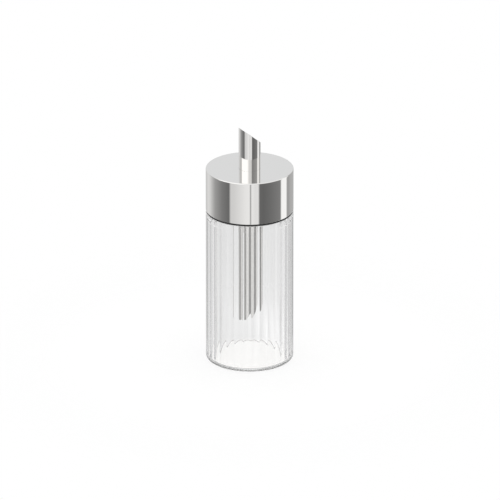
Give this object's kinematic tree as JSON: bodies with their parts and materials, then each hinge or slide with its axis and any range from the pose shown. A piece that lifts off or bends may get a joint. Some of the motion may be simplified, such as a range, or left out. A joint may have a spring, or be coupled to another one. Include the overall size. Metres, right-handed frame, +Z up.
{
  "type": "sugar shaker",
  "caption": "Fluted clear glass sugar shaker with a polished steel screw lid and a slant-cut steel pouring tube through the lid.",
  "frame": {"origin": "middle of the base, on the table", "axes": "+Z up along the jar's axis, +X to the side that the tube's upper mouth faces"},
  "size_m": [0.06, 0.06, 0.1695],
  "materials": {
    "clear_glass": "pressed and fire-polished clear glass",
    "black_silicone": "matt silicone rubber",
    "white_silicone": "matt silicone rubber",
    "polished_steel": "mirror-polished stainless steel",
    "black_plastic": "fine moulded grain",
    "plain_steel": "turned stainless steel",
    "red_silicone": "matt silicone rubber",
    "tube_steel": "polished stainless steel tube"
  },
  "bodies": {
    "jar": {"glass_jar": "clear_glass", "shoulder_seal": "black_silicone"},
    "gasket": {"rim_gasket": "white_silicone"},
    "ring_seal": {"tube_seal": "red_silicone"},
    "lid": {"lid_shell": "polished_steel", "thread_liner": "black_plastic", "tube_collar": "plain_steel", "spout_tube": "tube_steel"}
  },
  "joints": [
    {"name": "lid_lift", "type": "slide", "parent": "jar", "child": "gasket", "axis": [0, 0, 1], "range_m": [0, 0.115]},
    {"name": "lid_rise", "type": "slide", "parent": "gasket", "child": "ring_seal", "axis": [0, 0, 1], "range_m": [0, 0.005]},
    {"name": "lid_turn", "type": "hinge", "parent": "ring_seal", "child": "lid", "pos_m": [0, 0, 0.125], "axis": [0, 0, 1], "range_deg": [0, 450]}
  ],
  "couplings": [
    {"joint": "lid_rise", "follows": "lid_turn", "m_per_rad": 0.00063662}
  ]
}
